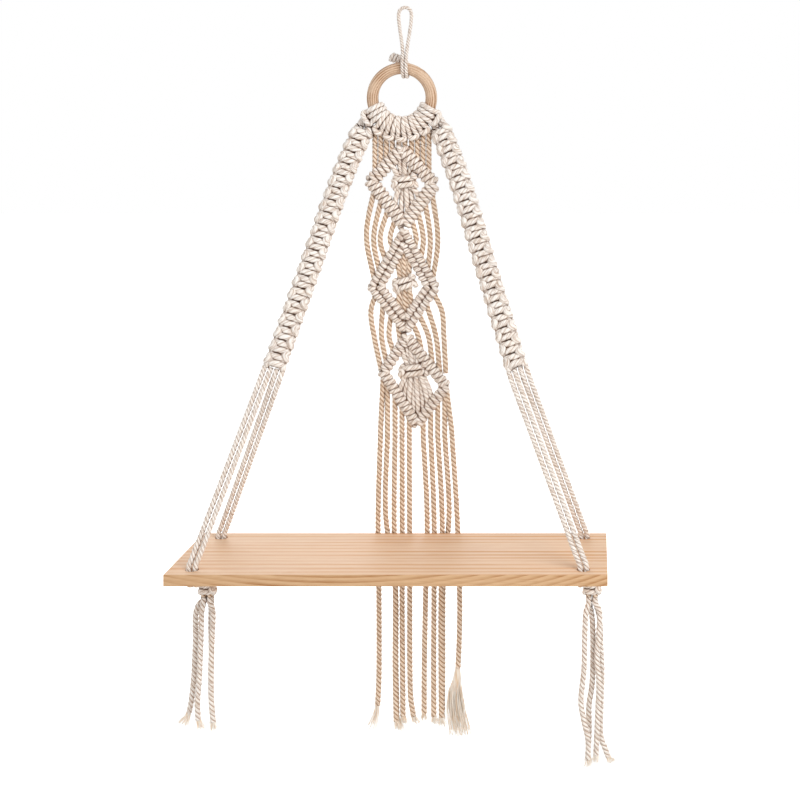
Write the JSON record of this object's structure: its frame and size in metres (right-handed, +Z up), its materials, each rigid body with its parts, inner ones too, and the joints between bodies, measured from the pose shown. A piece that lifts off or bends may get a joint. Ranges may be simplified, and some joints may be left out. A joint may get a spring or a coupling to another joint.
{
  "type": "hanging rope shelf",
  "caption": "Wall shelf: a pine board in two knotted rope bands under a wooden ring, with a knotted rope panel and fringe behind it.",
  "frame": {"origin": "top of the wall hook, where the hanging loop rests on it", "axes": "+Z up, -Y to the front, away from the wall, +X to the right seen from the front"},
  "size_m": [0.4043, 0.1461, 0.7254],
  "materials": {
    "cotton_rope": "matt twisted cotton",
    "ring_wood": "sanded beech",
    "board_wood": "planed pine"
  },
  "bodies": {
    "hook_loop": {"hanging_loop": "cotton_rope", "hanging_loop_knot": "cotton_rope"},
    "ring": {"wooden_ring": "ring_wood", "ring_knot_panel_1": "cotton_rope", "ring_knot_panel_2": "cotton_rope", "ring_knot_panel_3": "cotton_rope", "ring_knot_panel_4": "cotton_rope", "ring_knot_panel_5": "cotton_rope", "ring_knot_left_band": "cotton_rope", "ring_knot_right_band": "cotton_rope", "panel_upper_diamond": "cotton_rope", "panel_upper_square_knot": "cotton_rope", "panel_middle_diamond": "cotton_rope", "panel_middle_square_knot": "cotton_rope", "panel_lower_diamond": "cotton_rope", "panel_lower_square_knot": "cotton_rope", "fringe_rope_1": "cotton_rope", "fringe_rope_2": "cotton_rope", "fringe_rope_3": "cotton_rope", "fringe_rope_4": "cotton_rope", "fringe_rope_5": "cotton_rope", "fringe_rope_6": "cotton_rope", "fringe_rope_7": "cotton_rope", "fringe_rope_8": "cotton_rope", "fringe_rope_9": "cotton_rope", "fringe_rope_10": "cotton_rope"},
    "left_band": {"left_band_square_knots": "cotton_rope", "left_band_outer_core_rope": "cotton_rope", "left_band_inner_core_rope": "cotton_rope"},
    "right_band": {"right_band_square_knots": "cotton_rope", "right_band_outer_core_rope": "cotton_rope", "right_band_inner_core_rope": "cotton_rope"},
    "shelf": {"shelf_board": "board_wood", "left_suspension_rope_front_1": "cotton_rope", "left_suspension_rope_front_2": "cotton_rope", "left_suspension_rope_back_1": "cotton_rope", "left_suspension_rope_back_2": "cotton_rope", "right_suspension_rope_front_1": "cotton_rope", "right_suspension_rope_front_2": "cotton_rope", "right_suspension_rope_back_1": "cotton_rope", "right_suspension_rope_back_2": "cotton_rope", "left_gathering_knot": "cotton_rope", "right_gathering_knot": "cotton_rope", "left_tail_front_1": "cotton_rope", "left_tail_front_2": "cotton_rope", "left_tail_back_1": "cotton_rope", "left_tail_back_2": "cotton_rope", "right_tail_front_1": "cotton_rope", "right_tail_front_2": "cotton_rope", "right_tail_back_1": "cotton_rope", "right_tail_back_2": "cotton_rope"}
  },
  "joints": [
    {"name": "ring_sway", "type": "hinge", "parent": "hook_loop", "child": "ring", "pos_m": [0.0002, 0, -0.0652], "axis": [0, 1, 0], "range_deg": [-7, 7]},
    {"name": "left_band_swing", "type": "hinge", "parent": "ring", "child": "left_band", "pos_m": [-0.0409, 0, -0.1176], "axis": [-1, 0, 0], "range_deg": [0, 15]},
    {"name": "right_band_swing", "type": "hinge", "parent": "ring", "child": "right_band", "pos_m": [0.0347, 0, -0.1176], "axis": [-1, 0, 0], "range_deg": [0, 15]},
    {"name": "shelf_rock", "type": "hinge", "parent": "left_band", "child": "shelf", "pos_m": [-0.1145, -0.0682, -0.3449], "axis": [-1, 0, 0], "range_deg": [0, 12]}
  ],
  "couplings": [
    {"joint": "right_band_swing", "follows": "left_band_swing", "ratio": 1}
  ]
}
